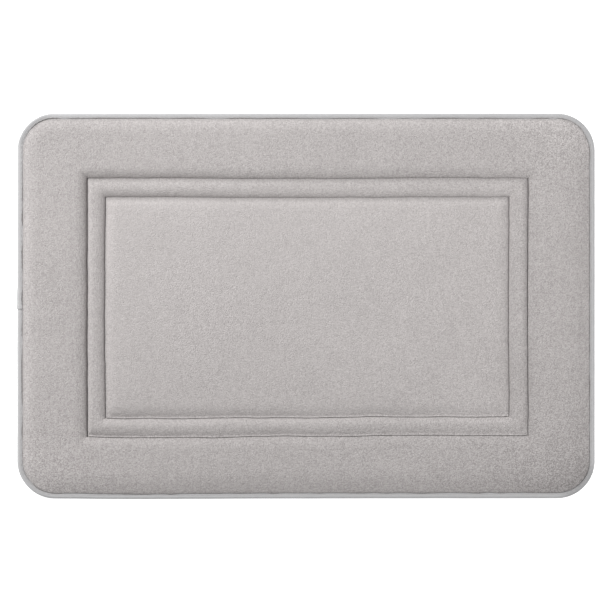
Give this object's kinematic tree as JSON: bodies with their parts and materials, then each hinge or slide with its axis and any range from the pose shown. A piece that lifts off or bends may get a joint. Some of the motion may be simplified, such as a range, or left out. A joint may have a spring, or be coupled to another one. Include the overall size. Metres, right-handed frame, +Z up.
{
  "type": "bath mat",
  "caption": "Rectangular quilted bath mat with rounded corners: velour face over a foam pad, non-slip backing, tape-bound edge and two nested sewn channels.",
  "frame": {"origin": "middle of the mat's outline, on the floor plane that its underside rests on", "axes": "+X along the long side, +Y along the short side, +Z up out of the pile"},
  "size_m": [0.61, 0.407, 0.0155],
  "materials": {
    "velour": "matte",
    "foam": "matte",
    "backing": "matte",
    "tape": "matte",
    "thread": "matte"
  },
  "bodies": {
    "root": {"pile_face": "velour", "memory_foam": "foam", "non_slip_backing": "backing", "edge_binding": "tape", "binding_needle_thread": "thread", "binding_bobbin_thread": "thread", "outer_channel_needle_thread": "thread", "outer_channel_bobbin_thread": "thread", "inner_channel_needle_thread": "thread", "inner_channel_bobbin_thread": "thread"}
  },
  "joints": []
}
